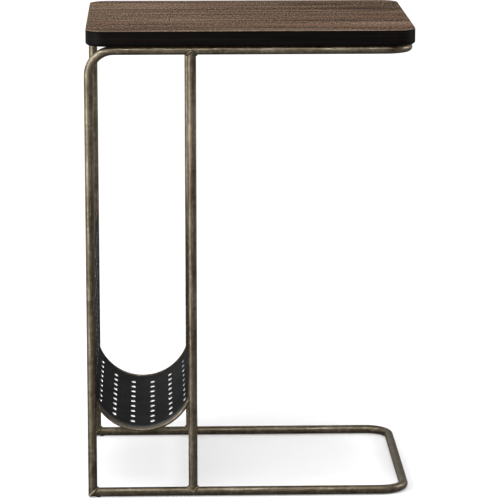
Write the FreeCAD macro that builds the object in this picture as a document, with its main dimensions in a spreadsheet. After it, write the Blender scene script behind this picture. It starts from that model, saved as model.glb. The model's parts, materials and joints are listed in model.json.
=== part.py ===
import FreeCAD, Part
import Sketcher
import math
import os

# A C-shaped side table: two bent tube loops, two inner uprights, a slotted magazine sling and a wood top.
# Millimetres, +Z up, +X towards the open end, origin on the floor under the middle of the outline.

doc = FreeCAD.newDocument("side_table")
sheet = doc.addObject("Spreadsheet::Sheet", "sizes")

SIZES = {
    # Overall
    "overall_height": 667,
    "top_length": 457,
    "top_depth": 356,
    # Tube frame
    "tube_od": 12.7,
    "tube_wall": 1.2,
    "bend_radius": 34.5,
    "upright_proud": 2.5,
    "end_inset": 2,
    "side_inset": 6.5,
    "pocket_spacing": 142.5,
    "heel_grind": 1.1,
    # Top
    "core_thickness": 20.6,
    "veneer_thickness": 0.8,
    "backing_thickness": 0.6,
    "corner_radius": 27,
    "edge_ease": 3.2,
    # Magazine sling
    "sling_angle_deg": 68.9,
    "sling_bottom": 95.6,
    "left_wall_top": 350,
    "right_wall_top": 250,
    "sheet_thickness": 1,
    "rod_dia": 4.5,
    "slot_width": 7,
    "slot_length": 11.5,
    "slot_pitch": 28.6,
    "slot_edge_margin": 36,
    "wall_edge_margin": 12,
    # Fixings under the top
    "tab_width": 20,
    "tab_reach": 24,
    "tab_thickness": 2,
    "tab_setback": 72,
    "screw_dia": 4,
    "screw_length": 16,
    "screw_tip": 4,
    "screw_head_dia": 8,
    "screw_head_height": 2.4,
    "screw_offset": 15,
    # Floor glides
    "glide_height": 0.8,
    "glide_dia": 7,
    "glide_chamfer": 0.3,
    "glide_setback": 8,
    "stem_dia": 4,
    "stem_length": 5,
    # Welds and fits
    "weld_radius": 1.7,
    "weld_sweep_deg": 125,
    "weld_seat": 0.25,
    "weld_gap": 0.05,
    "fit_clearance": 0.1,
    "drill_overrun": 1,
}
for row, (alias, size) in enumerate(SIZES.items(), start=1):
    sheet.set(f"A{row}", alias)
    sheet.set(f"B{row}", str(size))
    sheet.setAlias(f"B{row}", alias)
doc.recompute()

# Positions that several pieces share, written once as expressions of the sheet
TUBE_R = "sizes.tube_od / 2"
BORE_R = "sizes.tube_od / 2 - sizes.tube_wall"
ROD_R = "sizes.rod_dia / 2"
HALF_LENGTH = "(sizes.top_length + sizes.upright_proud) / 2"
LEFT = f"({TUBE_R} - {HALF_LENGTH})"
RIGHT = f"({HALF_LENGTH} - sizes.end_inset - {TUBE_R})"
INNER = f"({LEFT} + sizes.pocket_spacing)"
SIDE = f"(sizes.top_depth / 2 - sizes.side_inset - {TUBE_R})"
BASE = f"(sizes.glide_height + {TUBE_R})"
UNDERSIDE = (
    "(sizes.overall_height - sizes.veneer_thickness"
    " - sizes.core_thickness - sizes.backing_thickness)"
)
RAIL = f"({UNDERSIDE} - {TUBE_R})"
TOP_CENTRE = "sizes.upright_proud / 2"

# The sling hangs midway between the uprights, its rods flush with their inner sides
POCKET = f"({LEFT} + sizes.pocket_spacing / 2)"
WALL = f"(sizes.pocket_spacing / 2 - {TUBE_R} + {ROD_R})"
SLING_RADIUS = f"({WALL} / sin(sizes.sling_angle_deg * 1deg))"
SLING_AXIS = f"(sizes.sling_bottom + {SLING_RADIUS})"
ROD_REACH = f"({TUBE_R} + {ROD_R} + sizes.weld_gap)"
ROD_SIDE = f"({SIDE} - sqrt({ROD_REACH} * {ROD_REACH} - ({TUBE_R} - {ROD_R}) * ({TUBE_R} - {ROD_R})))"
SHEET_SIDE = (
    f"({ROD_SIDE} - sizes.weld_gap - sqrt({ROD_R} * {ROD_R}"
    " - sizes.sheet_thickness * sizes.sheet_thickness / 4))"
)

X_AXIS = FreeCAD.Vector(1, 0, 0)
Y_AXIS = FreeCAD.Vector(0, 1, 0)
Z_AXIS = FreeCAD.Vector(0, 0, 1)
SIDES = (("front", "-"), ("back", ""))
DIRECTIONS = {
    "X": FreeCAD.Rotation(Z_AXIS, X_AXIS),
    "Y": FreeCAD.Rotation(Z_AXIS, Y_AXIS),
    "Z": FreeCAD.Rotation(),
}


def value(expression):
    """Read an expression of the sheet as a plain number."""
    return float(sheet.evalExpression(expression))


def facing(x_axis, y_axis):
    """The turn that takes the local X and Y axes to the two given directions."""
    return FreeCAD.Rotation(x_axis, y_axis, x_axis.cross(y_axis), "XYZ")


def place(obj, base, rotation=FreeCAD.Rotation()):
    """Turn an object by a fixed rotation and bind its position to three expressions."""
    obj.Placement = FreeCAD.Placement(FreeCAD.Vector(), rotation)
    for axis, expression in zip("xyz", base):
        obj.setExpression(f"Placement.Base.{axis}", expression)
    return obj


def bound(kind, name, sizes, base, rotation=FreeCAD.Rotation()):
    """Add one Part object with its sizes and its position bound to the sheet."""
    obj = doc.addObject(f"Part::{kind}", name)
    for prop, expression in sizes.items():
        obj.setExpression(prop, expression)
    return place(obj, base, rotation)


def cylinder(name, radius, length, base, axis="Z"):
    return bound("Cylinder", name, {"Radius": radius, "Height": length}, base, DIRECTIONS[axis])


def box(name, length, width, height, base, rotation=FreeCAD.Rotation()):
    return bound("Box", name, {"Length": length, "Width": width, "Height": height}, base, rotation)


def bend(name, ring_radius, section, angle, base, rotation=FreeCAD.Rotation()):
    """A bend: part of a torus that starts on the local X axis and turns towards local Y."""
    sizes = {"Radius1": ring_radius, "Radius2": section, "Angle3": angle}
    return bound("Torus", name, sizes, base, rotation)


def fuse(name, pieces):
    obj = doc.addObject("Part::MultiFuse", name)
    obj.Shapes = pieces
    return obj


def cut(name, base, tool):
    obj = doc.addObject("Part::Cut", name)
    obj.Base = base
    obj.Tool = tool
    return obj


def finish(obj, label):
    """Name a piece and keep it for the export."""
    obj.Label = label
    exports.append(obj)
    return obj


exports = []


def loop_runs(name, section, height):
    """The plan part of a loop: two straight rails, two corner bends and the crossbar, for one radius."""
    corner = f"({SIDE} - sizes.bend_radius)"
    pieces = [cylinder(f"{name}_crossbar", section, f"2 * {corner}", (RIGHT, f"-{corner}", height), "Y")]
    for place_name, sign in SIDES:
        turn = FreeCAD.Rotation(Z_AXIS, -90 if sign else 0)
        centre = (f"{RIGHT} - sizes.bend_radius", f"{sign}{corner}", height)
        pieces.append(bend(f"{name}_{place_name}_corner", "sizes.bend_radius", section, "90", centre, turn))
    return pieces


def upper_runs(name, section):
    """Uprights, bends and rails of the upper loop for one radius."""
    pieces = loop_runs(name, section, RAIL)
    turn = facing(-X_AXIS, Z_AXIS)
    for place_name, sign in SIDES:
        side = f"{sign}{SIDE}"
        foot = f"({BASE} - sizes.tube_od)"
        centre = (f"{LEFT} + sizes.bend_radius", side, f"{RAIL} - sizes.bend_radius")
        rail_length = f"{RIGHT} - {LEFT} - 2 * sizes.bend_radius"
        rail_start = (f"{LEFT} + sizes.bend_radius", side, RAIL)
        upright_length = f"{RAIL} - sizes.bend_radius - {foot}"
        pieces.append(cylinder(f"{name}_{place_name}_upright", section, upright_length, (LEFT, side, foot)))
        pieces.append(bend(f"{name}_{place_name}_bend", "sizes.bend_radius", section, "90", centre, turn))
        pieces.append(cylinder(f"{name}_{place_name}_rail", section, rail_length, rail_start, "X"))
    return pieces


def base_runs(name, section):
    """Rails, bends and crossbar of the base loop for one radius."""
    pieces = loop_runs(name, section, BASE)
    for place_name, sign in SIDES:
        start = (f"{LEFT} - sizes.tube_od", f"{sign}{SIDE}", BASE)
        length = f"{RIGHT} - {LEFT} + sizes.tube_od - sizes.bend_radius"
        pieces.append(cylinder(f"{name}_{place_name}_rail", section, length, start, "X"))
    return pieces


def mitre_boxes(name, upwards):
    """Boxes that lie on one side of the two mitre planes at the feet of the left uprights."""
    along = FreeCAD.Vector(1, 0, 1).normalize()
    rotation = facing(along if upwards else -along, Y_AXIS)
    shift = "- sqrt(2) * sizes.tube_od" if upwards else "+ sqrt(2) * sizes.tube_od"
    boxes = []
    for place_name, sign in SIDES:
        corner = (f"{LEFT} {shift}", f"{sign}{SIDE} - sizes.tube_od", f"{BASE} {shift}")
        sizes = ("4 * sizes.tube_od", "2 * sizes.tube_od", "2 * sizes.tube_od")
        boxes.append(box(f"{name}_{place_name}", *sizes, corner, rotation))
    return boxes


def heel_boxes(name):
    """Boxes that take the sharp heel off the two mitred corners, as a grinder does."""
    rotation = facing(FreeCAD.Vector(-1, 0, -1).normalize(), Y_AXIS)
    flat = f"({TUBE_R} - sizes.heel_grind / sqrt(2))"
    half_height = "sizes.tube_od / sqrt(2)"
    boxes = []
    for place_name, sign in SIDES:
        corner = (
            f"{LEFT} - {flat} - {half_height}",
            f"{sign}{SIDE} - sizes.tube_od",
            f"{BASE} - {flat} + {half_height}",
        )
        sizes = ("sizes.tube_od", "2 * sizes.tube_od", "2 * sizes.tube_od")
        boxes.append(box(f"{name}_{place_name}", *sizes, corner, rotation))
    return boxes


# Upper loop: a hollow tube, its feet mitred
upper_outer = fuse("upper_outer", upper_runs("upper_outside", TUBE_R))
upper_bore = fuse("upper_bore", upper_runs("upper_inside", BORE_R))
upper_tube = cut("upper_tube", upper_outer, upper_bore)
upper_cuts = fuse("upper_cuts", mitre_boxes("upper_mitre", False) + heel_boxes("upper_heel"))
finish(cut("upper_mitred", upper_tube, upper_cuts), "upper_loop")

# Base loop: a hollow tube, its ends mitred to match, drilled from below for the glide stems
GLIDE_SPOTS = (
    ("left", f"{LEFT} + sizes.glide_setback", SIDE, "X"),
    ("right", RIGHT, f"({SIDE} - sizes.bend_radius - sizes.glide_setback)", "Y"),
)
glide_places = [
    (f"{place_name}_{end}", x, f"{sign}{side}", axis)
    for place_name, sign in SIDES
    for end, x, side, axis in GLIDE_SPOTS
]
stem_hole_radius = "sizes.stem_dia / 2 + sizes.fit_clearance"
stem_holes = [
    cylinder(f"{name}_stem_hole", stem_hole_radius, TUBE_R, (x, y, "sizes.glide_height - sizes.tube_wall"))
    for name, x, y, axis in glide_places
]
base_outer = fuse("base_outer", base_runs("base_outside", TUBE_R))
base_bore = fuse("base_bore", base_runs("base_inside", BORE_R))
base_tube = cut("base_tube", base_outer, base_bore)
base_cuts = fuse("base_cuts", mitre_boxes("base_mitre", True) + heel_boxes("base_heel") + stem_holes)
finish(cut("base_mitred", base_tube, base_cuts), "base_loop")

# Inner uprights: tubes coped at both ends on the rails
for place_name, sign in SIDES:
    side = f"{sign}{SIDE}"
    span = f"{RAIL} - {BASE}"
    start = f"{INNER} - sizes.tube_od"
    outside = cylinder(f"{place_name}_inner_outside", TUBE_R, span, (INNER, side, BASE))
    inside = cylinder(f"{place_name}_inner_inside", BORE_R, span, (INNER, side, BASE))
    lower = cylinder(f"{place_name}_lower_cope", TUBE_R, "2 * sizes.tube_od", (start, side, BASE), "X")
    upper = cylinder(f"{place_name}_upper_cope", TUBE_R, "2 * sizes.tube_od", (start, side, RAIL), "X")
    removed = fuse(f"{place_name}_inner_cuts", [inside, lower, upper])
    finish(cut(f"{place_name}_inner_tube", outside, removed), f"{place_name}_inner_upright")

# Magazine sling: a trough of sheet between two straight walls
half_sheet = "sizes.sheet_thickness / 2"
sheet_span = f"2 * {SHEET_SIDE}"
trough_start = (POCKET, f"-{SHEET_SIDE}", SLING_AXIS)
outer_radius = f"{SLING_RADIUS} + {half_sheet}"
inner_radius = f"{SLING_RADIUS} - {half_sheet}"
trough_outside = cylinder("trough_outside", outer_radius, sheet_span, trough_start, "Y")
trough_inside = cylinder("trough_inside", inner_radius, sheet_span, trough_start, "Y")
trough_ring = cut("trough_ring", trough_outside, trough_inside)
trough_limit = box(
    "trough_limit",
    f"2 * {WALL} + sizes.sheet_thickness",
    sheet_span,
    f"{SLING_RADIUS} + sizes.sheet_thickness",
    (f"{POCKET} - {WALL} - {half_sheet}", f"-{SHEET_SIDE}", "sizes.sling_bottom - sizes.sheet_thickness"),
)
trough = doc.addObject("Part::Common", "trough")
trough.Base = trough_ring
trough.Tool = trough_limit
kink_height = f"({SLING_AXIS} - sqrt(({outer_radius}) ^ 2 - ({WALL} + {half_sheet}) ^ 2))"
walls = [
    box(
        f"{end}_wall",
        "sizes.sheet_thickness",
        sheet_span,
        f"sizes.{end}_wall_top - {kink_height}",
        (f"{POCKET} {sign} {WALL} - {half_sheet}", f"-{SHEET_SIDE}", kink_height),
    )
    for end, sign in (("left", "-"), ("right", "+"))
]
plain_sling = fuse("plain_sling", [trough] + walls)
doc.recompute()


def slot_places():
    """Centre and direction of every slot: one pitch along the bent sheet and across it."""
    radius = value(SLING_RADIUS)
    wall = value(WALL)
    pitch = value("sizes.slot_pitch")
    centre_x = value(POCKET)
    centre_z = value(SLING_AXIS)
    end_angle = math.radians(value("sizes.sling_angle_deg"))
    kink = radius * end_angle
    kink_z = centre_z - radius * math.cos(end_angle)
    reach = value(SHEET_SIDE) - value("sizes.slot_edge_margin")
    rows = int(reach // pitch)
    depths = [pitch * row for row in range(-rows, rows + 1)]
    for side, end in ((-1, "left"), (1, "right")):
        wall_length = value(f"sizes.{end}_wall_top") - kink_z
        length = kink + wall_length - value("sizes.wall_edge_margin")
        along = pitch / 2
        while along < length:
            if along < kink:
                angle = along / radius
                normal = FreeCAD.Vector(side * math.sin(angle), 0, -math.cos(angle))
                spot = FreeCAD.Vector(centre_x, 0, centre_z) + normal * radius
            else:
                normal = X_AXIS * side
                spot = FreeCAD.Vector(centre_x + side * wall, 0, kink_z + along - kink)
            if abs(along - kink) > value("sizes.slot_width") / 2:
                for depth in depths:
                    yield spot + Y_AXIS * depth, normal
            along += pitch


def slot_cutter(spot, normal):
    """A prism with round ends through the sheet at one slot, its long side along Y."""
    radius = value("sizes.slot_width / 2")
    depth = normal * (6 * value("sizes.sheet_thickness"))
    across = Y_AXIS.cross(normal) * radius
    straight = Y_AXIS * (value("sizes.slot_length / 2") - radius)
    tip = Y_AXIS * (value("sizes.slot_length") / 2)
    start = spot - depth / 2
    edges = [
        Part.LineSegment(start - straight + across, start + straight + across),
        Part.Arc(start + straight + across, start + tip, start + straight - across),
        Part.LineSegment(start + straight - across, start - straight - across),
        Part.Arc(start - straight - across, start - tip, start - straight + across),
    ]
    return Part.Face(Part.Wire([edge.toShape() for edge in edges])).extrude(depth)


# The slots follow the bend, so their cutters are set in code from the sheet
slots = doc.addObject("Part::Feature", "slots")
slots.Shape = Part.Compound([slot_cutter(spot, normal) for spot, normal in slot_places()])
finish(cut("slotted_sling", plain_sling, slots), "magazine_sling")

# Rods along the front and back edges of the sling, in line with the sheet
rod_kink = f"({SLING_AXIS} - {WALL} / tan(sizes.sling_angle_deg * 1deg))"
for place_name, sign in SIDES:
    side = f"{sign}{ROD_SIDE}"
    runs = []
    for end, wall_sign, outward in (("left", "-", -X_AXIS), ("right", "+", X_AXIS)):
        name = f"{place_name}_rod_{end}"
        wall_x = f"{POCKET} {wall_sign} {WALL}"
        turn = facing(-Z_AXIS, outward)
        curve_centre = (POCKET, side, SLING_AXIS)
        runs.append(bend(f"{name}_curve", SLING_RADIUS, ROD_R, "sizes.sling_angle_deg", curve_centre, turn))
        runs.append(bound("Sphere", f"{name}_kink", {"Radius": ROD_R}, (wall_x, side, rod_kink)))
        rise = f"sizes.{end}_wall_top - {rod_kink}"
        runs.append(cylinder(f"{name}_run", ROD_R, rise, (wall_x, side, rod_kink)))
    finish(fuse(f"{place_name}_rod_runs", runs), f"{place_name}_sling_rod")

# Screw places under the top: one tab at each end of each rail
TAB_X = {
    "left": f"({LEFT} + sizes.tab_setback)",
    "right": f"({RIGHT} - sizes.tab_setback)",
}
screw_places = [
    (f"{place_name}_{end}", x, sign)
    for place_name, sign in SIDES
    for end, x in TAB_X.items()
]
SCREW_SIDE = f"({SIDE} - sizes.screw_offset)"
thread_hole = "sizes.screw_dia / 2 + sizes.fit_clearance"


def rounded_board(name, inset, thickness, height):
    """A board with the outline of the top, drawn as a padded sketch with rounded corners."""
    body = doc.addObject("PartDesign::Body", name)
    plan = body.newObject("Sketcher::SketchObject", f"{name}_plan")
    plane = next(item for item in body.Origin.OriginFeatures if item.Role == "XY_Plane")
    plan.AttachmentSupport = (plane, "")
    plan.MapMode = "FlatFace"
    half_x = value("sizes.top_length / 2")
    half_y = value("sizes.top_depth / 2")
    corners = [(-half_x, -half_y), (half_x, -half_y), (half_x, half_y), (-half_x, half_y)]
    for index, start in enumerate(corners):
        end = corners[(index + 1) % len(corners)]
        plan.addGeometry(Part.LineSegment(FreeCAD.Vector(*start, 0), FreeCAD.Vector(*end, 0)), False)
    for index in range(len(corners)):
        following = (index + 1) % len(corners)
        plan.addConstraint(Sketcher.Constraint("Coincident", index, 2, following, 1))
    for index, direction in enumerate(("Horizontal", "Vertical", "Horizontal", "Vertical")):
        plan.addConstraint(Sketcher.Constraint(direction, index))
    plan.addConstraint(Sketcher.Constraint("Symmetric", 0, 1, 2, 1, -1, 1))
    for line, prop in ((0, "top_length"), (1, "top_depth")):
        constraint = plan.addConstraint(Sketcher.Constraint("Distance", line, value(f"sizes.{prop}")))
        plan.renameConstraint(constraint, prop)
        plan.setExpression(f"Constraints.{prop}", f"sizes.{prop} - 2 * {inset}")
    pad = body.newObject("PartDesign::Pad", f"{name}_pad")
    pad.Profile = plan
    pad.setExpression("Length", thickness)
    doc.recompute()
    corner_names = [
        f"Edge{number}"
        for number, edge in enumerate(pad.Shape.Edges, start=1)
        if edge.BoundBox.ZLength > edge.BoundBox.DiagonalLength / 2
    ]
    rounding = body.newObject("PartDesign::Fillet", f"{name}_corners")
    rounding.Base = (pad, corner_names)
    rounding.setExpression("Radius", f"sizes.corner_radius - {inset}")
    place(body, (TOP_CENTRE, "0", height))
    doc.recompute()
    return body, rounding


def pilot_holes(body, name, depth):
    """Four blind or through holes from the underside of a board, at the screw places."""
    points = body.newObject("Sketcher::SketchObject", f"{name}_points")
    plane = next(item for item in body.Origin.OriginFeatures if item.Role == "XY_Plane")
    points.AttachmentSupport = (plane, "")
    points.MapMode = "FlatFace"
    for index, (spot, x, sign) in enumerate(screw_places):
        where = FreeCAD.Vector(value(f"{x} - {TOP_CENTRE}"), value(f"{sign}{SCREW_SIDE}"), 0)
        points.addGeometry(Part.Circle(where, Z_AXIS, value(thread_hole)), False)
        limits = (
            ("radius", Sketcher.Constraint("Radius", index, value(thread_hole)), thread_hole),
            ("across", Sketcher.Constraint("DistanceX", -1, 1, index, 3, where.x), f"{x} - {TOP_CENTRE}"),
            ("deep", Sketcher.Constraint("DistanceY", -1, 1, index, 3, where.y), f"{sign}{SCREW_SIDE}"),
        )
        for word, constraint, expression in limits:
            number = points.addConstraint(constraint)
            points.renameConstraint(number, f"{spot}_{word}")
            points.setExpression(f"Constraints.{spot}_{word}", expression)
    drilled = body.newObject("PartDesign::Pocket", f"{name}_drilled")
    drilled.Profile = points
    drilled.Reversed = True
    drilled.setExpression("Length", depth)
    doc.recompute()


# Top: core board with an eased lower edge, face veneer above it and backing veneer below
CORE_HEIGHT = f"{UNDERSIDE} + sizes.backing_thickness"
core, core_rounding = rounded_board("core", "0", "sizes.core_thickness", CORE_HEIGHT)
lower_edges = [
    f"Edge{number}"
    for number, edge in enumerate(core_rounding.Shape.Edges, start=1)
    if abs(edge.BoundBox.ZMax - core_rounding.Shape.BoundBox.ZMin) < 1e-6
]
easing = core.newObject("PartDesign::Fillet", "core_easing")
easing.Base = (core_rounding, lower_edges)
easing.setExpression("Radius", "sizes.edge_ease")
core_bite = "sizes.screw_length - sizes.tab_thickness - sizes.backing_thickness"
pilot_holes(core, "core", f"{core_bite} + sizes.drill_overrun")
finish(core, "top_core")

VENEER_HEIGHT = "sizes.overall_height - sizes.veneer_thickness"
finish(rounded_board("veneer", "0", "sizes.veneer_thickness", VENEER_HEIGHT)[0], "top_veneer")

backing = rounded_board("backing", "sizes.edge_ease", "sizes.backing_thickness", UNDERSIDE)[0]
pilot_holes(backing, "backing", "2 * sizes.backing_thickness")
finish(backing, "top_backing")

# Tabs welded inside the rails, and the screws that go up through them
screws = []
for spot, x, sign in screw_places:
    tab_inner = f"{SIDE} - {TUBE_R} / 2"
    tab_start = f"-({tab_inner})" if sign else f"{SIDE} - sizes.tab_reach"
    blank = box(
        f"{spot}_tab_blank",
        "sizes.tab_width",
        f"sizes.tab_reach - {TUBE_R} / 2",
        "sizes.tab_thickness",
        (f"{x} - sizes.tab_width / 2", tab_start, f"{UNDERSIDE} - sizes.tab_thickness"),
    )
    rail_start = (f"{x} - sizes.tab_width", f"{sign}{SIDE}", RAIL)
    scarf = cylinder(f"{spot}_tab_scarf", TUBE_R, "2 * sizes.tab_width", rail_start, "X")
    screw_y = f"{sign}{SCREW_SIDE}"
    seat = f"({UNDERSIDE} - sizes.tab_thickness)"
    hole_start = (x, screw_y, f"{seat} - sizes.drill_overrun")
    hole_length = "sizes.tab_thickness + 2 * sizes.drill_overrun"
    hole = cylinder(f"{spot}_tab_hole", thread_hole, hole_length, hole_start)
    finish(cut(f"{spot}_tab_cut", blank, fuse(f"{spot}_tab_cuts", [scarf, hole])), f"{spot}_tab")

    head_start = f"{seat} - sizes.screw_head_height"
    shank_length = "sizes.screw_length - sizes.screw_tip"
    head_radius = "sizes.screw_head_dia / 2"
    head = cylinder(f"{spot}_head", head_radius, "sizes.screw_head_height", (x, screw_y, head_start))
    shank = cylinder(f"{spot}_shank", "sizes.screw_dia / 2", shank_length, (x, screw_y, seat))
    taper = {"Radius1": "sizes.screw_dia / 2", "Radius2": "sizes.screw_dia / 8", "Height": "sizes.screw_tip"}
    tip = bound("Cone", f"{spot}_tip", taper, (x, screw_y, f"{seat} + {shank_length}"))
    slot = box(
        f"{spot}_slot",
        "sizes.screw_head_dia * 2",
        "sizes.screw_head_dia / 6",
        "sizes.screw_head_height / 2",
        (f"{x} - sizes.screw_head_dia", f"{screw_y} - sizes.screw_head_dia / 12", head_start),
    )
    screws.append(cut(f"{spot}_screw", fuse(f"{spot}_screw_runs", [head, shank, tip]), slot))
screw_group = doc.addObject("Part::Compound", "screw_group")
screw_group.Links = screws
finish(screw_group, "top_screws")

# Glides: a button saddled to the tube above it, with a stem pushed into the drilled hole
for name, x, y, axis in glide_places:
    wide = "sizes.glide_dia / 2"
    narrow = "sizes.glide_dia / 2 - sizes.glide_chamfer"
    chamfer = {"Radius1": narrow, "Radius2": wide, "Height": "sizes.glide_chamfer"}
    sole = bound("Cone", f"{name}_sole", chamfer, (x, y, "0"))
    button = cylinder(f"{name}_button", wide, f"{BASE} - sizes.glide_chamfer", (x, y, "sizes.glide_chamfer"))
    reach = "2 * sizes.glide_dia"
    saddle_start = (f"{x} - {reach}", y, BASE) if axis == "X" else (x, f"{y} - {reach}", BASE)
    saddle = cylinder(f"{name}_saddle", TUBE_R, f"2 * {reach}", saddle_start, axis)
    shaped = cut(f"{name}_shaped", fuse(f"{name}_blank", [sole, button]), saddle)
    stem_start = "sizes.glide_height - sizes.glide_chamfer"
    stem = cylinder(f"{name}_stem", "sizes.stem_dia / 2", "sizes.stem_length", (x, y, stem_start))
    finish(fuse(f"{name}_glide_runs", [shaped, stem]), f"{name}_glide")


def bead(path, start, direction):
    """A round bead swept along a path that starts at a point in a direction."""
    section = Part.Wire([Part.Circle(start, direction, value("sizes.weld_radius")).toShape()])
    return path.makePipeShell([section], True, True)


def oblique_ellipse(along):
    """The curve where two equal tubes meet in the plane through Y and the given direction."""
    radius = value(TUBE_R)
    return Part.Ellipse(along * (radius * math.sqrt(2)), Y_AXIS * radius, FreeCAD.Vector())


def joint_bars(overrun):
    """Solid round bars along X and Z through a joint, to trim the weld metal by."""
    radius = value(f"{TUBE_R} + sizes.weld_seat")
    reach = 4 * value("sizes.tube_od")
    return [
        Part.makeCylinder(radius, reach + overrun, direction * -overrun, direction)
        for direction in (X_AXIS, Z_AXIS)
    ]


def elliptical_bead(along, sweep_degrees):
    """A bead along an oblique ellipse, as far to each side of its upper end as the sweep says."""
    half = math.radians(sweep_degrees)
    arc = Part.ArcOfEllipse(oblique_ellipse(along), -half, half)
    start = arc.value(arc.FirstParameter)
    return bead(Part.Wire([arc.toShape()]), start, arc.tangent(arc.FirstParameter)[0])


def mitre_weld():
    """Weld around a mitred foot; the outer corner is ground smooth, so the bead stops short of it."""
    ring = elliptical_bead(FreeCAD.Vector(1, 0, 1).normalize(), value("sizes.weld_sweep_deg"))
    return ring.cut(joint_bars(value(TUBE_R)))


def cope_weld(upward):
    """Weld around a coped upright end: two half ellipses that meet at the front and the back."""
    halves = [
        elliptical_bead(FreeCAD.Vector(side, 0, upward).normalize(), 90)
        for side in (-1, 1)
    ]
    knots = [
        Part.makeSphere(value("sizes.weld_radius"), Y_AXIS * (value(TUBE_R) * side))
        for side in (-1, 1)
    ]
    ring = halves[0].fuse(halves[1:] + knots)
    return ring.cut(joint_bars(4 * value("sizes.tube_od"))).removeSplitter()


# Weld metal: its curves have no primitive, so it is shaped at the origin in code and moved to each joint
WELDS = (
    ("corner", mitre_weld(), LEFT, BASE),
    ("lower", cope_weld(1), INNER, BASE),
    ("upper", cope_weld(-1), INNER, RAIL),
)
for joint, shape, x, z in WELDS:
    for place_name, sign in SIDES:
        weld = doc.addObject("Part::Feature", f"{place_name}_{joint}_bead")
        weld.Shape = shape.Solids[0]
        finish(place(weld, (x, f"{sign}{SIDE}", z)), f"{place_name}_{joint}_weld")

doc.recompute()
os.makedirs("parts", exist_ok=True)
for obj in doc.Objects:
    if "Invalid" in obj.State or "Error" in obj.State:
        raise RuntimeError(f"{obj.Name} did not compute: {obj.State}")
for obj in exports:
    shape = obj.Shape
    if shape.isNull() or not shape.isValid():
        raise RuntimeError(f"{obj.Label} has no valid shape")
    shape.exportStep(f"parts/{obj.Label}.step")
    print(f"{obj.Label}: {len(shape.Solids)} solid(s), {shape.Volume:.1f} mm3")
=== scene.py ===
# %% [markdown]
# # A C-shaped side table with a magazine sling
# The real table is a welded frame of thin round tube with an antique brass finish. It carries a dark wood
# top, and a black slotted sheet hangs between its uprights as a magazine sling.
# The imported CAD model gives every solid in its place. This lesson adds what the solids lack: the finishes,
# the ripples of the weld beads, the rolled lips of the punched slots and the pale arris of the top.

# %% Load the imported model
import json
import math

import bmesh
import bpy
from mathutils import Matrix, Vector


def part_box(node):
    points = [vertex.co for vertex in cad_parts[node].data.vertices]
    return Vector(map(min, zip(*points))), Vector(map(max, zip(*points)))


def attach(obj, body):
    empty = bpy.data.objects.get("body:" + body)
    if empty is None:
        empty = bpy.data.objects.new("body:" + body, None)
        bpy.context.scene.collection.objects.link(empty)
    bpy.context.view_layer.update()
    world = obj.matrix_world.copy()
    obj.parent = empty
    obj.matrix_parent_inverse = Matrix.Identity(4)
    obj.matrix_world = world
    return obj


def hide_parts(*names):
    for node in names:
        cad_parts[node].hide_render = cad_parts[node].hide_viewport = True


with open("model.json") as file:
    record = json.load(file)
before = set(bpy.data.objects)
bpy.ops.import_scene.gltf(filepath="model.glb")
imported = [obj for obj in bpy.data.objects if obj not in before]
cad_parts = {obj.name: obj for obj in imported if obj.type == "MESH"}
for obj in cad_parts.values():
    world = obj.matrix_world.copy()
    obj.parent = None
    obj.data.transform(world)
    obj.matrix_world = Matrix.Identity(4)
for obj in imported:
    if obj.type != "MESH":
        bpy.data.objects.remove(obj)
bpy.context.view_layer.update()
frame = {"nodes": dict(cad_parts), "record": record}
cad_nodes = frame["nodes"]
scene = bpy.context.scene
scene.view_settings.view_transform = "Standard"

# %% [markdown]
# ## Where the tubes run
# Several pieces below sit on the tubes, so their centre lines are read from the boxes of the CAD nodes.
# Measured numbers stay right when the model is made again, and typed ones would not.

# %% Measure the frame
upright_low, upright_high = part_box("front_inner_upright")
loop_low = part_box("upper_loop")[0]
tube_radius = (upright_high.x - upright_low.x) / 2
left_x = loop_low.x + tube_radius
inner_x = (upright_low.x + upright_high.x) / 2
front_y = (upright_low.y + upright_high.y) / 2
base_z = upright_low.z
rail_z = upright_high.z
sides = {"front": front_y, "back": -front_y}
print(f"tube radius {tube_radius * 1000:.2f} mm, uprights at x {left_x:.4f} and {inner_x:.4f}")

# %% [markdown]
# ## The camera
# The photograph was taken from far away with a long lens, a little above the top and a little to the left.
# A camera can be set by eye, but lines of known length on the frame gave this one: its place, its turn and
# its focal length.

# %% Set the camera
CAMERA_PLACE = (-0.1323, -4.1837, 1.1799)
CAMERA_PITCH = math.radians(11.572)
CAMERA_YAW = math.radians(1.885)
CAMERA_LENS = 211.09
SENSOR_WIDTH = 36
camera_data = bpy.data.cameras.new("photo_camera")
camera_data.lens = CAMERA_LENS
camera_data.sensor_width = SENSOR_WIDTH
camera = bpy.data.objects.new("photo_camera", camera_data)
camera.location = CAMERA_PLACE
camera.rotation_euler = (math.pi / 2 - CAMERA_PITCH, 0, -CAMERA_YAW)
scene.collection.objects.link(camera)
scene.camera = camera
print(f"camera with a {CAMERA_LENS} mm lens at {CAMERA_PLACE}")

# %% [markdown]
# ## Writing finishes as expressions
# A finish is a tree of shader nodes, and long chains of Math nodes are hard to read. The small class below
# wraps one socket, so that `1 - mask` or `0.3 + 0.2 * grain` adds the Math nodes by itself.
# Every other node comes from one method, which takes the node's type, its settings and its inputs. The weld
# beads and the slot lips further down are node trees too, and they are built with the same classes.
# A noise is given by its spots in each metre: 26 makes patches the width of a thumb, and 1300 a fine grain.
# With a count for each axis, it is drawn out along the axis that has few.


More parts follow.
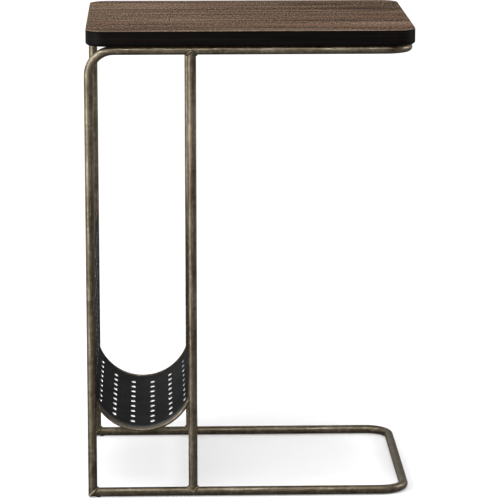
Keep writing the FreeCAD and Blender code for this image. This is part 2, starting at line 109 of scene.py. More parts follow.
# %% Define the finish and its fields
class Field:
    """One output of a node, such as a value that varies over the surface."""

    def __init__(self, nodes, socket):
        self.nodes = nodes
        self.socket = socket

    def combine(self, operation, first, second):
        return self.nodes.add("ShaderNodeMath", {"operation": operation}, {0: first, 1: second})

    def __add__(self, other):
        return self.combine("ADD", self, other)

    def __sub__(self, other):
        return self.combine("SUBTRACT", self, other)

    def __rsub__(self, other):
        return self.combine("SUBTRACT", other, self)

    def __mul__(self, other):
        return self.combine("MULTIPLY", self, other)

    def __truediv__(self, other):
        return self.combine("DIVIDE", self, other)

    def __rtruediv__(self, other):
        return self.combine("DIVIDE", other, self)

    __radd__ = __add__
    __rmul__ = __mul__


class Nodes:
    """A node tree, with one method that adds any node to it."""

    def __init__(self, tree):
        self.tree = tree

    def add(self, kind, settings, inputs, output=0):
        """Add a node: its settings first, then the values or links of its sockets."""
        node = self.tree.nodes.new(kind)
        for name, setting in settings.items():
            if name == "stops":
                self.set_stops(node.color_ramp, setting)
            else:
                setattr(node, name, setting)
        for key, value in inputs.items():
            self.fill(self.find(node.inputs, key), value)
        return Field(self, self.find(node.outputs, output))

    def fill(self, socket, value):
        if isinstance(value, Field):
            self.tree.links.new(value.socket, socket)
        else:
            socket.default_value = value

    @staticmethod
    def find(sockets, key):
        if isinstance(key, int):
            return sockets[key]
        return next(socket for socket in sockets if key in (socket.identifier, socket.name))

    @staticmethod
    def set_stops(ramp, stops):
        while len(ramp.elements) < len(stops):
            ramp.elements.new(1.0)
        for element, (position, colour) in zip(ramp.elements, stops):
            element.position = position
            element.color = (*colour, 1.0)

    def between(self, field, low, high, to_low=0.0, to_high=1.0):
        """Stretch the part of a field between two levels to a new range, and clamp it."""
        inputs = {"Value": field, "From Min": low, "From Max": high, "To Min": to_low, "To Max": to_high}
        return self.add("ShaderNodeMapRange", {}, inputs)


class Finish(Nodes):
    """A material with a principled shader, and the textures that finishes are made of."""

    def __init__(self, name, **constants):
        self.material = bpy.data.materials.new(name)
        self.material.use_nodes = True
        super().__init__(self.material.node_tree)
        self.shader = self.tree.nodes["Principled BSDF"]
        self.shade(**constants)
        self.place = self.add("ShaderNodeTexCoord", {}, {}, "Object")

    def noise(self, spots, detail, roughness=0.55):
        """A noise with so many spots in each metre, as one count or as one for each axis."""
        where, scale = self.place, spots
        if isinstance(spots, tuple):
            where = self.add("ShaderNodeMapping", {}, {"Vector": self.place, "Scale": spots})
            scale = 1.0
        inputs = {"Vector": where, "Scale": scale, "Detail": detail, "Roughness": roughness}
        return self.add("ShaderNodeTexNoise", {}, inputs)

    def mix(self, factor, first, second):
        colours = [colour if isinstance(colour, Field) else (*colour, 1.0) for colour in (first, second)]
        inputs = {"Factor_Float": factor, "A_Color": colours[0], "B_Color": colours[1]}
        return self.add("ShaderNodeMix", {"data_type": "RGBA"}, inputs, "Result_Color")

    def bump(self, height, distance, strength):
        """A relief in the light only, as high as the distance in metres."""
        inputs = {"Height": height, "Distance": distance, "Strength": strength}
        return self.add("ShaderNodeBump", {}, inputs)

    def shade(self, **inputs):
        """Fill the shader's inputs: a number is the same all over, and a field varies over the surface."""
        for name, value in inputs.items():
            socket = name.replace("_", " ").title().replace("Ior", "IOR")
            self.fill(self.shader.inputs[socket], value)
        return self.material


print("finish helpers are ready")

# %% [markdown]
# ## Antique brass
# The tube is plated, darkened with an acid bath and rubbed back by hand, so it is never one colour:
# olive-brown patches a thumb wide, finer mottling over them, and brighter strokes along the tube where the
# pad went.
# Painted colour would look the same in any light. A metallic shader with a dark base does what the real tube
# does: it shows a soft highlight towards the lamp and stays dark on the other side.

# %% Antique brass
BRASS_DARK = (0.085, 0.067, 0.042)
BRASS_OLIVE = (0.180, 0.151, 0.107)
BRASS_RUBBED = (0.335, 0.291, 0.222)
bend_reach = 4 * tube_radius


def antique_brass():
    finish = Finish("antique_brass", metallic=1.0)
    patches = finish.noise(26, detail=4, roughness=0.6)
    mottling = finish.noise(140, detail=4, roughness=0.6)
    grain = finish.noise(1300, detail=2)
    height = finish.add("ShaderNodeSeparateXYZ", {}, {0: finish.place}, "Z")
    upright = finish.between(height, base_z + tube_radius, base_z + bend_reach)
    upright = upright * finish.between(height, rail_z - bend_reach, rail_z - tube_radius, 1.0, 0.0)
    rubbed_up = finish.noise((420, 420, 22), detail=3)
    rubbed_along = finish.noise((22, 420, 420), detail=3)
    strokes = upright * rubbed_up + (1 - upright) * rubbed_along
    patina = finish.between(patches * 0.5 + mottling * 0.25 + strokes * 0.25, 0.40, 0.60)
    rubbing_and_painted_highlight = finish.between(strokes * 0.6 + mottling * 0.4, 0.52, 0.66)
    colour = finish.mix(patina, BRASS_DARK, BRASS_OLIVE)
    colour = finish.mix(rubbing_and_painted_highlight * 0.55, colour, BRASS_RUBBED)
    roughness = 0.41 + 0.10 * patina - 0.08 * rubbing_and_painted_highlight
    surface = finish.bump(grain * 0.4 + mottling * 0.6 + strokes * 0.4, distance=0.00015, strength=0.5)
    return finish.shade(base_color=colour, roughness=roughness, normal=surface)


brass = antique_brass()
print("made", brass.name)

# %% [markdown]
# ## Black sheet
# The sling is steel sheet under a fine textured black paint, which scatters light and hides fingerprints.
# A flat black would look like a hole in the picture, so the paint gets its grit as a fine bump, a slightly
# uneven gloss, and a faint grey bloom where hands and magazines have rubbed it.
# Inside the pocket a pale grey band is painted along the front edge. It is a painted highlight, in place of
# the light that a rolled lip of the sheet would catch there. A face is inside where its normal points to the
# middle of the pocket.
# The slots are punched after painting, so their cut ends show bare steel. Those faces look along Y, and the
# normal finds them. The sheet's front and back edges look that way too, but the rods cover them.

# %% Textured black paint
PAINT_BLACK = (0.0098, 0.0098, 0.0102)
PAINT_WORN = (0.021, 0.021, 0.021)
# The grey of a painted highlight along the pocket's front edge, where a rolled lip would catch the light.
PAINT_EDGE_HIGHLIGHT = (0.150, 0.142, 0.129)
STEEL_BARE = (0.62, 0.61, 0.58)
EDGE_HIGHLIGHT_REACH = 0.022
INSIDE_FADE = 0.25
sling_low, sling_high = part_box("magazine_sling")
sling_half = (sling_high.x - sling_low.x) / 2
pocket_middle = (sling_low.x + sling_half, 0.0, sling_low.z + sling_half)


def textured_paint():
    finish = Finish("black_sheet", specular_ior_level=0.045)
    grit = finish.noise(1500, detail=2)
    cloud = finish.noise(22, detail=3)
    paleness = finish.between(cloud + grit * 0.3, 0.56, 0.86)
    normal = finish.add("ShaderNodeNewGeometry", {}, {}, "True Normal")
    along_y = finish.add("ShaderNodeSeparateXYZ", {}, {0: normal}, "Y")
    cut_end = finish.between(along_y * along_y, 0.25, 0.5)
    across = finish.add("ShaderNodeSeparateXYZ", {}, {0: finish.place}, "Y")
    inputs = {0: pocket_middle, 1: finish.place}
    to_middle = finish.add("ShaderNodeVectorMath", {"operation": "SUBTRACT"}, inputs)
    inputs = {0: to_middle, 1: normal}
    inside = finish.add("ShaderNodeVectorMath", {"operation": "DOT_PRODUCT"}, inputs, "Value")
    # Painted highlight: a grey band along the front edge, on the inside faces of the pocket only.
    rubbing_and_painted_highlight = finish.between(across, sling_low.y, sling_low.y + EDGE_HIGHLIGHT_REACH, 1.0, 0.0)
    rubbing_and_painted_highlight = rubbing_and_painted_highlight * finish.between(inside, 0.0, sling_half * INSIDE_FADE)
    colour = finish.mix(paleness, PAINT_BLACK, PAINT_WORN)
    colour = finish.mix(rubbing_and_painted_highlight, colour, PAINT_EDGE_HIGHLIGHT)
    colour = finish.mix(cut_end, colour, STEEL_BARE)
    roughness = 0.46 + 0.2 * grit - 0.2 * cut_end
    surface = finish.bump(grit, distance=0.00025, strength=0.6)
    return finish.shade(base_color=colour, roughness=roughness, metallic=cut_end, normal=surface)


sheet_paint = textured_paint()
print("made", sheet_paint.name)

# %% [markdown]
# ## Brown wood face
# The veneer is a straight-grained wood with a weathered brown stain. Its grain runs along the table, in fine
# dark lines with paler and redder bands between them. Saw marks cross it, stronger in some patches than in
# others, and short pores stay open.
# A photograph of wood would repeat and blur, so all of these are noises, drawn out along X or across it.
# The backing under the board is the same wood, and the black lacquer of the board's edge runs over its sides.

# %% Stained straight-grained veneer
WOOD_DARK = (0.022, 0.013, 0.008)
WOOD_BROWN = (0.080, 0.049, 0.032)
WOOD_PALE = (0.205, 0.145, 0.101)
WOOD_RED = (0.118, 0.060, 0.036)
ARRIS_PALE = (0.245, 0.197, 0.153)
EDGE_BLACK = (0.004, 0.003, 0.0025)
NOISE_MEAN = 0.5


def stained_wood(name, with_arris=False, with_lacquered_sides=False):
    finish = Finish(name, specular_ior_level=0.02)
    bands = finish.noise((2.4, 66, 66), detail=4, roughness=0.65)
    lines = finish.noise((6, 280, 280), detail=4, roughness=0.7)
    saw_marks = finish.noise((430, 72, 72), detail=3, roughness=0.7)
    pores = finish.noise((110, 900, 900), detail=2, roughness=0.6)
    stain = finish.noise((3, 26, 26), detail=2)
    worked = finish.noise((14, 30, 30), detail=2)
    contrast = finish.between(worked, 0.36, 0.64, 0.7, 2.0)
    saw_marks = NOISE_MEAN + (saw_marks - NOISE_MEAN) * contrast
    figure = bands * 0.35 + lines * 0.27 + saw_marks * 0.38
    stops = [(0.43, WOOD_DARK), (0.497, WOOD_BROWN), (0.566, WOOD_PALE)]
    colour = finish.add("ShaderNodeValToRGB", {"stops": stops}, {"Fac": figure})
    redness = finish.between(stain, 0.50, 0.66) * finish.between(bands, 0.42, 0.58)
    colour = finish.mix(redness * 0.6, colour, WOOD_RED)
    open_pores = finish.between(pores, 0.60, 0.72)
    colour = finish.mix(open_pores * 0.6, colour, WOOD_DARK)
    if with_arris:
        edge = finish.add("ShaderNodeAttribute", {"attribute_name": "arris"}, {}, "Fac")
        colour = finish.mix(edge * finish.between(bands, 0.3, 0.55, 0.25, 0.7), colour, ARRIS_PALE)
    if with_lacquered_sides:
        normal = finish.add("ShaderNodeNewGeometry", {}, {}, "Normal")
        upward = finish.add("ShaderNodeSeparateXYZ", {}, {0: normal}, "Z")
        level = finish.add("ShaderNodeMath", {"operation": "ABSOLUTE"}, {0: upward})
        colour = finish.mix(finish.between(level, 0.7, 0.9), EDGE_BLACK, colour)
    roughness = 0.62 + 0.16 * lines + 0.12 * open_pores
    surface = finish.bump(lines * 0.5 + saw_marks * 0.4 - open_pores * 0.7, distance=0.0002, strength=0.5)
    return finish.shade(base_color=colour, roughness=roughness, normal=surface)


face_wood = stained_wood("brown_wood", with_arris=True)
backing_wood = stained_wood("backing_wood", with_lacquered_sides=True)
print("made", face_wood.name, "and", backing_wood.name)

# %% [markdown]
# ## Black lacquered edge
# The board's edge is filled and lacquered nearly black. The layers below still show as faint level lines, and
# the lacquer keeps a soft sheen. The lines are a noise squeezed along Z, so that they run round the corners.

# %% Black edge lacquer
LACQUER_BLACK = (0.0022, 0.0018, 0.0016)
LACQUER_BROWN = (0.0058, 0.0043, 0.0036)


def edge_lacquer():
    finish = Finish("black_edge", specular_ior_level=0.035)
    layers = finish.noise((4, 4, 430), detail=3, roughness=0.6)
    haze = finish.noise(60, detail=3)
    colour = finish.mix(finish.between(layers, 0.45, 0.65), LACQUER_BLACK, LACQUER_BROWN)
    roughness = 0.36 + 0.14 * haze + 0.10 * layers
    surface = finish.bump(layers, distance=0.0001, strength=0.4)
    return finish.shade(base_color=colour, roughness=roughness, normal=surface)


lacquer = edge_lacquer()
print("made", lacquer.name)

# %% [markdown]
# ## Screws and glides
# Nobody sees these from a chair, but the table may be turned over. The screws are zinc plated, with a grey
# bloom, and the glides are moulded nylon with a fine spark texture and scuffs from the floor.

# %% Zinc and nylon
ZINC_GREY = (0.36, 0.36, 0.37)
ZINC_BRIGHT = (0.60, 0.60, 0.58)
NYLON_BLACK = (0.012, 0.012, 0.013)
NYLON_SCUFF = (0.060, 0.058, 0.055)


def zinc_plate():
    finish = Finish("screw_steel", metallic=1.0)
    bloom = finish.between(finish.noise(500, detail=3), 0.4, 0.65)
    colour = finish.mix(bloom, ZINC_GREY, ZINC_BRIGHT)
    return finish.shade(base_color=colour, roughness=0.42 - 0.12 * bloom)


def moulded_nylon():
    finish = Finish("glide_nylon", specular_ior_level=0.4)
    spark = finish.noise(2600, detail=2)
    scuffs = finish.between(finish.noise(420, detail=4, roughness=0.7), 0.58, 0.72)
    colour = finish.mix(scuffs, NYLON_BLACK, NYLON_SCUFF)
    surface = finish.bump(spark, distance=0.0001, strength=0.4)
    return finish.shade(base_color=colour, roughness=0.50 + 0.2 * scuffs, normal=surface)


zinc = zinc_plate()
nylon = moulded_nylon()
print("made", zinc.name, "and", nylon.name)

# %% [markdown]
# ## Dress the CAD nodes
# The bent tubes, the sheet and the board already have the right shapes, so they stay as they are. Each node's
# material slot in the record says what it is made of, and that slot picks the finish.

# %% Give every CAD node its finish
FINISHES = {
    "antique_brass": brass,
    "black_sheet": sheet_paint,
    "brown_wood": face_wood,
    "black_edge": lacquer,
    "backing_wood": backing_wood,
    "screw_steel": zinc,
    "glide_nylon": nylon,
}
for subpart in frame["record"]["subparts"]:
    node = cad_nodes[subpart["node"]]
    for slot in node.material_slots:
        slot.material = FINISHES[subpart["material_slot"]]

# %% [markdown]
# ## The wood face with a pale arris
# The veneer's upper edge is sanded round by hand, and its rounded faces are coloured paler, which leaves a
# thin pale line all round the top. A bevel modifier could round the edge, but it would not say which faces
# are pale.
# The face is built as a stack of outlines instead, and the rounded ones carry an attribute that the stain
# reads.

# %% Build the wood face
ARRIS_RADIUS = 0.0006
CORNER_RADIUS = 0.027
CORNER_STEPS = 16
ARRIS_STEPS = 4


def rounded_outline(half_x, half_y, radius):
    """Points around a rectangle with round corners, anticlockwise."""
    points = []
    for quarter, (sign_x, sign_y) in enumerate(((1, 1), (-1, 1), (-1, -1), (1, -1))):
        for step in range(CORNER_STEPS + 1):
            angle = math.pi / 2 * (quarter + step / CORNER_STEPS)
            x = sign_x * (half_x - radius) + radius * math.cos(angle)
            y = sign_y * (half_y - radius) + radius * math.sin(angle)
            points.append((x, y))
    return points


def add_piece(name, mesh, slot):
    """Put a mesh in the scene with the finish of one slot, riding on the only body there is."""
    mesh.materials.clear()
    mesh.materials.append(FINISHES[slot])
    piece = bpy.data.objects.new(name, mesh)
    scene.collection.objects.link(piece)
    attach(piece, "root")
    return piece


def wood_face():
    low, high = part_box("top_veneer")
    centre = (low + high) / 2
    half = (high - low) / 2
    rings = [(0.0, low.z, 0.0)]
    for step in range(ARRIS_STEPS + 1):
        angle = math.pi / 2 * step / ARRIS_STEPS
        inset = ARRIS_RADIUS * (1 - math.cos(angle))
        height = high.z - ARRIS_RADIUS * (1 - math.sin(angle))
        rings.append((inset, height, math.sin(2 * angle) ** 0.5))
    work = bmesh.new()
    pale_layer = work.verts.layers.float.new("arris")
    loops = []
    for inset, height, paleness in rings:
        outline = rounded_outline(half.x - inset, half.y - inset, CORNER_RADIUS - inset)
        loop = [work.verts.new((centre.x + x, centre.y + y, height)) for x, y in outline]
        for vertex in loop:
            vertex[pale_layer] = paleness
        loops.append(loop)
    count = len(loops[0])
    for lower, upper in zip(loops, loops[1:]):
        for index in range(count):
            following = (index + 1) % count
            face = work.faces.new((lower[index], lower[following], upper[following], upper[index]))
            face.smooth = True
    work.faces.new(loops[-1])
    work.faces.new(reversed(loops[0]))
    mesh = bpy.data.meshes.new("wood_face")
    work.to_mesh(mesh)
    work.free()
    return mesh


top_face = add_piece("top_face", wood_face(), "brown_wood")
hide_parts("top_veneer")
print("wood face with", len(top_face.data.polygons), "faces")

# %% [markdown]
# ## Weld beads
# Where tubes meet, the welder leaves a bead of overlapping scales, one for each dab of the rod. At a mitred
# foot the bead follows a slanted ellipse, and at a coped upright it follows two half ellipses that meet in
# a V. Modelling each scale by hand would be slow, so a Geometry Nodes tree sweeps a round section along the
# seam and lets its radius rise and drop with a saw-tooth: one tooth is one scale.

# %% Build the bead tree
SCALE_STEPS = 6
BEAD_SIDES = 14


class Shape(Nodes):
    """A geometry node tree that takes a geometry, named sizes and a finish."""

    def __init__(self, name, sizes):
        super().__init__(bpy.data.node_groups.new(name, "GeometryNodeTree"))
        kinds = {"Geometry": "NodeSocketGeometry"}
        kinds.update(dict.fromkeys(sizes, "NodeSocketFloat"))
        kinds["Finish"] = "NodeSocketMaterial"
        for socket, kind in kinds.items():
            self.tree.interface.new_socket(socket, in_out="INPUT", socket_type=kind)
        self.tree.interface.new_socket("Geometry", in_out="OUTPUT", socket_type="NodeSocketGeometry")
        entry = self.tree.nodes.new("NodeGroupInput")
        self.given = {socket: Field(self, entry.outputs[socket]) for socket in kinds}

    def close(self, geometry):
        """Make the instances real, shade them smooth, set the finish and end the tree."""
        real = self.add("GeometryNodeRealizeInstances", {}, {"Geometry": geometry})
        smooth = self.add("GeometryNodeSetShadeSmooth", {}, {0: real})
        inputs = {"Geometry": smooth, "Material": self.given["Finish"]}
        dressed = self.add("GeometryNodeSetMaterial", {}, inputs)
        self.fill(self.tree.nodes.new("NodeGroupOutput").inputs[0], dressed)
        return self.tree


def bead_tree():
    shape = Shape("weld_bead", ["Bead radius", "Scale pitch", "Scale depth"])
    given = shape.given
    pitch = given["Scale pitch"]
    inputs = {"Curve": given["Geometry"], "Length": pitch / SCALE_STEPS}
    seam = shape.add("GeometryNodeResampleCurve", {"mode": "LENGTH"}, inputs)
    along = shape.add("GeometryNodeSplineParameter", {}, {}, "Length")
    tooth = shape.add("ShaderNodeMath", {"operation": "FRACT"}, {0: along / pitch})
    radius = given["Bead radius"] * (1 - tooth * given["Scale depth"])
    section = shape.add("GeometryNodeCurvePrimitiveCircle", {}, {"Resolution": BEAD_SIDES, "Radius": 1.0})
    inputs = {"Curve": seam, "Profile Curve": section, "Scale": radius, "Fill Caps": True}
    return shape.close(shape.add("GeometryNodeCurveToMesh", {}, inputs))


beads = bead_tree()
print("bead tree with", len(beads.nodes), "nodes")

# %% [markdown]
# ## Seams for the beads
# Each seam is a curve object made of points on the line where the two tubes meet. The tree turns it into a
# bead, and the result is kept as a plain mesh.

# %% Weld the joints
BEAD_RADIUS = 0.0021
SCALE_PITCH = 0.0019
SCALE_DEPTH = 0.30
MITRE_SWEEP = math.radians(125)
SEAM_STEPS = 96


def seam_curve(name, lines, closed):
    """A curve object with one poly spline for each line of points."""
    curve = bpy.data.curves.new(name, "CURVE")
    curve.dimensions = "3D"
    for line in lines:
        spline = curve.splines.new("POLY")
        spline.points.add(len(line) - 1)
        for point, place in zip(spline.points, line):
            point.co = (*place, 1.0)
        spline.use_cyclic_u = closed
    return bpy.data.objects.new(name, curve)


def run_tree(source, tree, sizes, finish):
    """Give an object a tree, set the inputs by identifier and return the result as a plain mesh."""
    scene.collection.objects.link(source)
    modifier = source.modifiers.new("shape", "NODES")
    modifier.node_group = tree
    values = {**sizes, "Finish": finish}
    for item in tree.interface.items_tree:
        if item.in_out == "INPUT" and item.name in values:
            modifier[item.identifier] = values[item.name]
    graph = bpy.context.evaluated_depsgraph_get()
    mesh = bpy.data.meshes.new_from_object(source.evaluated_get(graph))
    source.modifiers.remove(modifier)
    bpy.data.objects.remove(source)
    return mesh


def weld_piece(name, lines, radius=BEAD_RADIUS, closed=False):
    sizes = {"Bead radius": radius, "Scale pitch": SCALE_PITCH, "Scale depth": SCALE_DEPTH}
    mesh = run_tree(seam_curve(f"{name}_seam", lines, closed), beads, sizes, brass)
    return add_piece(name, mesh, "antique_brass")


def mitre_seam(side_y):
    """The slanted ellipse at a mitred foot, open at the ground-off outer corner."""
    for step in range(SEAM_STEPS + 1):
        angle = MITRE_SWEEP * (2 * step / SEAM_STEPS - 1)
        reach = tube_radius * math.cos(angle)
        yield Vector((left_x + reach, side_y + tube_radius * math.sin(angle), base_z + reach))


def cope_seam(side_y, height, upward):
    """The saddle line round a coped upright end: two half ellipses."""
    for step in range(SEAM_STEPS):
        angle = 2 * math.pi * step / SEAM_STEPS
        reach = tube_radius * math.cos(angle)
        yield Vector((inner_x + reach, side_y + tube_radius * math.sin(angle), height + upward * abs(reach)))


for side, side_y in sides.items():
    corner = weld_piece(f"{side}_corner_bead", [list(mitre_seam(side_y))])
    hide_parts(f"{side}_corner_weld")
    lower = weld_piece(f"{side}_lower_bead", [list(cope_seam(side_y, base_z, 1))], closed=True)
    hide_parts(f"{side}_lower_weld")
    upper = weld_piece(f"{side}_upper_bead", [list(cope_seam(side_y, rail_z, -1))], closed=True)
    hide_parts(f"{side}_upper_weld")
    print(side, "beads:", [len(piece.data.polygons) for piece in (corner, lower, upper)], "faces")

# %% [markdown]
# ## Tack welds along the sling
# The sling's edge rods lie in the corner behind each upright. A full bead would warp the sheet, so they are
# held by short tacks. These are short straight seams through the same tree.

# %% Tack the sling to the uprights
TACK_RADIUS = 0.0011
TACK_LENGTH = 0.012
TACK_INSET = 0.0010
TACK_OFFSET = 0.0046
RIGHT_WALL_TOP = 0.250
LEFT_TACKS = 4
RIGHT_TACKS = 2
TACK_MARGIN = 0.012
TACK_LOWEST = 0.075
rod_low, rod_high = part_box("front_sling_rod")


def tack_lines(side_y):
    """Short upright seams where the rods touch the uprights, on the pocket side."""
    inward = math.copysign(TACK_OFFSET, -side_y)
    lowest = rod_low.z + TACK_LOWEST
    for upright_x, facing, top, count in (
        (left_x, 1, rod_high.z, LEFT_TACKS),
        (inner_x, -1, RIGHT_WALL_TOP, RIGHT_TACKS),
    ):
        x = upright_x + facing * (tube_radius - TACK_INSET)
        for index in range(count):
            share = index / (count - 1)
            start = lowest + share * (top - TACK_MARGIN - TACK_LENGTH - lowest)
            yield [Vector((x, side_y + inward, start)), Vector((x, side_y + inward, start + TACK_LENGTH))]


for side, side_y in sides.items():
    tacks = weld_piece(f"{side}_sling_tacks", list(tack_lines(side_y)), radius=TACK_RADIUS)
    print(side, "tacks:", len(tacks.data.polygons), "faces")

# %% [markdown]
# ## Lips of the punched slots
# A punch rolls the paint and the metal a little around each slot, and that soft lip catches the light.
# The slots stand on one pitch, along the bent sheet and across it. The sheet is an arc below and two flat
# walls above, which meet it in a slight kink, so the walk along it has two cases. The tree sets one small
# lip on each point and turns it to the sheet there, which is far less work than placing lips by hand.
# A lip's corners are rounded by just under half its width, so that its short sides don't shrink to nothing.

# %% Set a lip on every slot
SHEET_THICKNESS = 0.001
SLING_ANGLE = math.radians(68.9)
SLOT_WIDTH = 0.007
SLOT_LENGTH = 0.0115
SLOT_PITCH = 0.0286
SLOT_ROWS = 4
SLOT_END_ROUNDING = 0.499
SLOT_END_STEPS = 5
LIP_RADIUS = 0.00018
LIP_SIDES = 5
TOP_MARGIN = 0.012


def lip_tree():
    shape = Shape("slot_lips", ["Slot width", "Slot length", "Lip radius"])
    given = shape.given
    width = given["Slot width"]
    inputs = {"Width": width, "Height": given["Slot length"]}
    outline = shape.add("GeometryNodeCurvePrimitiveQuadrilateral", {}, inputs)
    inputs = {"Curve": outline, "Radius": width * SLOT_END_ROUNDING, "Count": SLOT_END_STEPS}
    rounded = shape.add("GeometryNodeFilletCurve", {"mode": "POLY"}, inputs)
    inputs = {"Resolution": LIP_SIDES, "Radius": given["Lip radius"]}
    section = shape.add("GeometryNodeCurvePrimitiveCircle", {}, inputs)
    lip = shape.add("GeometryNodeCurveToMesh", {}, {"Curve": rounded, "Profile Curve": section})
    settings = {"data_type": "FLOAT_VECTOR"}
    facing = shape.add("GeometryNodeInputNamedAttribute", settings, {"Name": "facing"})
    turn = shape.add("FunctionNodeAlignRotationToVector", {"axis": "Z"}, {"Vector": facing})
    inputs = {"Points": given["Geometry"], "Instance": lip, "Rotation": turn}
    return shape.close(shape.add("GeometryNodeInstanceOnPoints", {}, inputs))


def slot_places():
    """Centre and inward direction of each slot, on the middle of the sheet."""
    centre_x = sling_low.x + sling_half
    wall = sling_half - SHEET_THICKNESS / 2
    radius = wall / math.sin(SLING_ANGLE)
    centre_z = sling_low.z + SHEET_THICKNESS / 2 + radius
    kink = radius * SLING_ANGLE
    kink_z = centre_z - radius * math.cos(SLING_ANGLE)
    for side, top in ((-1, sling_high.z), (1, RIGHT_WALL_TOP)):
        length = kink + top - kink_z - TOP_MARGIN
        along = SLOT_PITCH / 2
        while along < length:
            if along < kink:
                angle = along / radius
                inward = Vector((-side * math.sin(angle), 0, math.cos(angle)))
                spot = Vector((centre_x, 0, centre_z)) - inward * radius
            else:
                inward = Vector((-side, 0, 0))
                spot = Vector((centre_x + side * wall, 0, kink_z + along - kink))
            for row in range(-SLOT_ROWS, SLOT_ROWS + 1):
                yield spot + Vector((0, row * SLOT_PITCH, 0)), inward
            along += SLOT_PITCH


def slot_lips():
    """Lips on both faces of the sheet, as one mesh."""
    half = SHEET_THICKNESS / 2
    places = [(spot + inward * way, inward) for spot, inward in slot_places() for way in (-half, half)]
    points = bpy.data.meshes.new("slot_points")
    points.from_pydata([spot for spot, inward in places], [], [])
    facing = points.attributes.new("facing", "FLOAT_VECTOR", "POINT")
    facing.data.foreach_set("vector", [number for spot, inward in places for number in inward])
    sizes = {"Slot width": SLOT_WIDTH, "Slot length": SLOT_LENGTH, "Lip radius": LIP_RADIUS}
    return run_tree(bpy.data.objects.new("slot_points", points), lip_tree(), sizes, sheet_paint)


lips = add_piece("sling_slot_lips", slot_lips(), "black_sheet")
print("slot lips:", len(lips.data.polygons), "faces")

# %% [markdown]
# ## Floor and light
# The table stands on a roll of white studio paper that ends just in front of it. A tall soft lamp close by
# on the left reaches down to the floor, because an upright tube seen from above mirrors what is low, and it
# draws the long highlight there. A wide lamp in front and one above light the top and the base, a weak strip
# with a narrow beam picks out the front rail, and two small lamps put the bright spots on the bends.
# The room is bright on the left and dark on the right, as in a studio with a black flag, so the tubes have a
# dark side. The paper's own glow is for the camera and for reflections only. It is weakest under the front of
# the table and grows with distance, so that the table keeps its soft shadow while the background is white.

# %% Build the studio
PAPER_LOW = (-1.3, -0.6)
PAPER_HIGH = (1.1, 9.0)
PAPER_WHITE = 0.70
# The paper's colour in mirrors, darker than to the camera: painted shade in what the tubes reflect.
PAPER_MIRROR_SHADE = 0.16
GLOW_UNDER = 0.225
GLOW_NEAR = 0.36
GLOW_FAR = 0.66
GLOW_CENTRE = (0.0, -0.12, 0.0)
NEAR_REACH = (0.26, 0.42)
FAR_REACH = (0.5, 4.0)
MIRRORED_GLOW = 0.25
AMBIENT = 0.60
ROOM_DARK = 0.33
ROOM_TURN = (-0.3, 0.9)
ROOM_BRIGHT_SIDE = Vector((-1.0, -0.15, 0.1)).normalized()
RAIL_BEAM = math.radians(24)
LAMPS = {
    "key_lamp": {"place": (-1.55, -1.05, 0.60), "aim": (0.0, 0.0, 0.35), "size": (0.9, 1.3), "power": 22},
    "front_lamp": {"place": (-0.2, -1.6, 2.55), "aim": (0.0, 0.0, 0.35), "size": (1.8, 1.3), "power": 30},
    "rail_lamp": {
        "place": (0.1, -2.3, 2.2),
        "aim": (0.03, -0.17, 0.66),
        "size": (1.6, 0.3),
        "power": 0.8,
        "beam": RAIL_BEAM,
    },
    "left_lamp": {"place": (-1.85, -0.9, 1.9), "aim": (-0.2, -0.16, 0.6), "size": (0.4, 0.4), "power": 28},
    "right_lamp": {"place": (1.75, 0.05, 0.85), "aim": (0.2, -0.15, 0.4), "size": (0.3, 0.3), "power": 12},
    "top_lamp": {"place": (-0.1, -0.7, 2.8), "aim": (0.0, -0.2, 0.0), "size": (2.0, 1.4), "power": 6},
}


def white_where_seen(nodes):
    """1 for rays from the camera and 1 for rays off mirrors and through glass, as two fields."""
    kinds = ("Is Camera Ray", "Is Glossy Ray", "Is Transmission Ray")
    camera_ray, glossy, transmitted = [nodes.add("ShaderNodeLightPath", {}, {}, kind) for kind in kinds]
    return camera_ray, glossy.combine("MAXIMUM", glossy, transmitted)


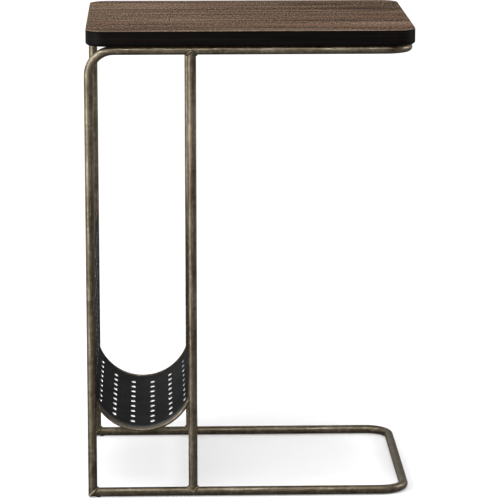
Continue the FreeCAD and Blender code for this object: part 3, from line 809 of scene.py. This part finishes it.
def studio_paper():
    (low_x, low_y), (high_x, high_y) = PAPER_LOW, PAPER_HIGH
    corners = [(low_x, low_y, 0), (high_x, low_y, 0), (high_x, high_y, 0), (low_x, high_y, 0)]
    mesh = bpy.data.meshes.new("studio_paper")
    mesh.from_pydata(corners, [], [(0, 1, 2, 3)])
    finish = Finish("studio_paper", roughness=1.0, specular_ior_level=0.0)
    camera_ray, mirrored = white_where_seen(finish)
    # To mirrors the paper is darker than to the camera, in its colour here and in its weaker glow below:
    # painted shade on the tubes' lower sides.
    finish.shade(base_color=finish.mix(mirrored, [PAPER_WHITE] * 3, [PAPER_MIRROR_SHADE] * 3))
    inputs = {0: finish.place, 1: GLOW_CENTRE}
    distance = finish.add("ShaderNodeVectorMath", {"operation": "DISTANCE"}, inputs, "Value")
    level = finish.between(distance, *NEAR_REACH, GLOW_UNDER, GLOW_NEAR)
    level = level + finish.between(distance, *FAR_REACH, 0.0, GLOW_FAR - GLOW_NEAR)
    glow = finish.add("ShaderNodeEmission", {}, {"Strength": (camera_ray + mirrored * MIRRORED_GLOW) * level})
    surface = finish.add("ShaderNodeAddShader", {}, {0: Field(finish, finish.shader.outputs[0]), 1: glow})
    finish.fill(finish.tree.nodes["Material Output"].inputs["Surface"], surface)
    mesh.materials.append(finish.material)
    paper = bpy.data.objects.new("studio_paper", mesh)
    scene.collection.objects.link(paper)


def studio_world():
    world = bpy.data.worlds.new("studio")
    scene.world = world
    world.use_nodes = True
    nodes = Nodes(world.node_tree)
    background = nodes.tree.nodes["Background"]
    background.inputs["Color"].default_value = (1, 1, 1, 1)
    direction = nodes.add("ShaderNodeTexCoord", {}, {}, "Generated")
    inputs = {0: direction, 1: ROOM_BRIGHT_SIDE}
    facing = nodes.add("ShaderNodeVectorMath", {"operation": "DOT_PRODUCT"}, inputs, "Value")
    room = nodes.between(facing, *ROOM_TURN, ROOM_DARK, 1.0)
    camera_ray, mirrored = white_where_seen(nodes)
    level = camera_ray + mirrored * room + (1 - camera_ray - mirrored) * AMBIENT
    nodes.fill(background.inputs["Strength"], level)


def studio_lamp(name, place, aim, size, power, beam=math.pi):
    data = bpy.data.lights.new(name, "AREA")
    data.shape = "RECTANGLE"
    data.size, data.size_y = size
    data.energy = power
    data.spread = beam
    lamp = bpy.data.objects.new(name, data)
    lamp.location = place
    lamp.rotation_euler = (Vector(aim) - Vector(place)).to_track_quat("-Z", "Y").to_euler()
    scene.collection.objects.link(lamp)


studio_paper()
studio_world()
for name, lamp in LAMPS.items():
    studio_lamp(name, **lamp)
print("studio with", len(LAMPS), "lamps")
